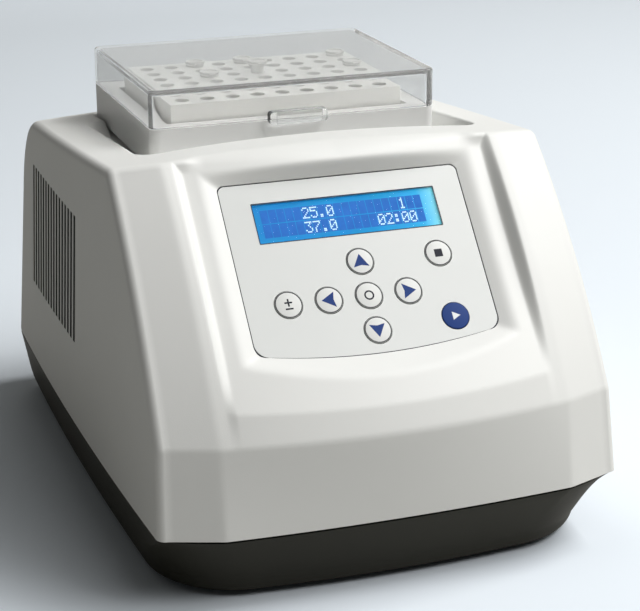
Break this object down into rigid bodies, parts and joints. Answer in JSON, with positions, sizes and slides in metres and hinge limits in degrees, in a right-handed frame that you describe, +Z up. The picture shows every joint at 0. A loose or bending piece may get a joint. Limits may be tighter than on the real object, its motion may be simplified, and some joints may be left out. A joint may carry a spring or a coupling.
{
  "type": "dry bath incubator",
  "caption": "Bench dry bath with a drilled block for small tubes under a clear hinged lid, a sloped keypad with a display, and a heat pump with a fan inside.",
  "frame": {"origin": "middle of the footprint at the bottom of the feet", "axes": "+X to the right as seen from the front, -Y towards the user, +Z up"},
  "size_m": [0.2124, 0.298, 0.1887],
  "materials": {
    "shell_white": "warm white moulded shell with a fine matte grain",
    "base_dark": "dark olive grey moulded shell",
    "overlay_film": "light grey printed film",
    "window_clear": "clear window over the display",
    "display_blue": "blue backlit character display",
    "board_green": "green circuit board",
    "screw_steel": "plated steel",
    "switch_black": "black plastic",
    "key_white": "white key with blue print",
    "key_blue": "blue key with white print",
    "lid_clear": "clear moulded lid",
    "collar_white": "white moulded collar",
    "block_alloy": "fine satin anodised alloy",
    "tube_plastic": "translucent sample tubes",
    "foam_black": "closed-cell foam",
    "plain_alloy": "mill finished alloy",
    "ceramic_white": "white ceramic faces",
    "foot_rubber": "black rubber",
    "can_black": "sleeved capacitors",
    "coil_yellow": "taped winding and ferrite core",
    "contact_brass": "plated contacts"
  },
  "bodies": {
    "housing": {"top_housing": "shell_white", "base_housing": "base_dark", "front_overlay": "overlay_film", "lcd_window": "window_clear", "lcd_module": "display_blue", "control_board": "board_green", "board_screws": "screw_steel", "key_switches": "switch_black", "hinge_brackets": "collar_white", "lid_hinge_pins": "screw_steel", "block_collar": "collar_white", "heating_block": "block_alloy", "temperature_sensor": "screw_steel", "sample_tubes": "tube_plastic", "insulation_frame": "foam_black", "heat_spreader": "plain_alloy", "peltier_modules": "ceramic_white", "heat_sink": "plain_alloy", "module_posts": "switch_black", "thermal_cutout": "switch_black", "fan_frame": "switch_black", "fan_screws": "screw_steel", "rear_panel": "base_dark", "mains_inlet": "switch_black", "inlet_pins": "contact_brass", "fuse_holder": "switch_black", "switch_frame": "switch_black", "power_supply_board": "board_green", "supply_screws": "screw_steel", "supply_transformer": "coil_yellow", "supply_capacitors": "can_black", "supply_coolers": "plain_alloy", "rubber_feet": "foot_rubber", "foot_screws": "screw_steel", "case_screws": "screw_steel"},
    "lid": {"clear_lid": "lid_clear", "lid_grip": "lid_clear"},
    "fan_rotor": {"fan_rotor": "switch_black"},
    "power_rocker": {"power_rocker": "switch_black"},
    "key_up": {"key_up": "key_white"},
    "key_down": {"key_down": "key_white"},
    "key_left": {"key_left": "key_white"},
    "key_right": {"key_right": "key_white"},
    "key_set": {"key_set": "key_white"},
    "key_adjust": {"key_adjust": "key_white"},
    "key_stop": {"key_stop": "key_white"},
    "key_start": {"key_start": "key_blue"}
  },
  "joints": [
    {"name": "lid_hinge", "type": "hinge", "parent": "housing", "child": "lid", "pos_m": [0, 0.0984, 0.171], "axis": [-1, 0, 0], "range_deg": [0, 100]},
    {"name": "fan_spin", "type": "hinge", "parent": "housing", "child": "fan_rotor", "pos_m": [0, 0.038, 0.065], "axis": [0, 0, 1], "continuous": true},
    {"name": "power_rocker_tilt", "type": "hinge", "parent": "housing", "child": "power_rocker", "pos_m": [-0.026, 0.134, 0.071], "axis": [-1, 0, 0], "range_deg": [0, 20]},
    {"name": "key_up_press", "type": "slide", "parent": "housing", "child": "key_up", "axis": [0, 0.7466, -0.6652], "range_m": [0, 0.0004], "stiffness_N_per_m": 400, "springref_m": -0.0012},
    {"name": "key_down_press", "type": "slide", "parent": "housing", "child": "key_down", "axis": [0, 0.7466, -0.6652], "range_m": [0, 0.0004], "stiffness_N_per_m": 400, "springref_m": -0.0012},
    {"name": "key_left_press", "type": "slide", "parent": "housing", "child": "key_left", "axis": [0, 0.7466, -0.6652], "range_m": [0, 0.0004], "stiffness_N_per_m": 400, "springref_m": -0.0012},
    {"name": "key_right_press", "type": "slide", "parent": "housing", "child": "key_right", "axis": [0, 0.7466, -0.6652], "range_m": [0, 0.0004], "stiffness_N_per_m": 400, "springref_m": -0.0012},
    {"name": "key_set_press", "type": "slide", "parent": "housing", "child": "key_set", "axis": [0, 0.7466, -0.6652], "range_m": [0, 0.0004], "stiffness_N_per_m": 400, "springref_m": -0.0012},
    {"name": "key_adjust_press", "type": "slide", "parent": "housing", "child": "key_adjust", "axis": [0, 0.7466, -0.6652], "range_m": [0, 0.0004], "stiffness_N_per_m": 400, "springref_m": -0.0012},
    {"name": "key_stop_press", "type": "slide", "parent": "housing", "child": "key_stop", "axis": [0, 0.7466, -0.6652], "range_m": [0, 0.0004], "stiffness_N_per_m": 400, "springref_m": -0.0012},
    {"name": "key_start_press", "type": "slide", "parent": "housing", "child": "key_start", "axis": [0, 0.7466, -0.6652], "range_m": [0, 0.0004], "stiffness_N_per_m": 400, "springref_m": -0.0012}
  ]
}
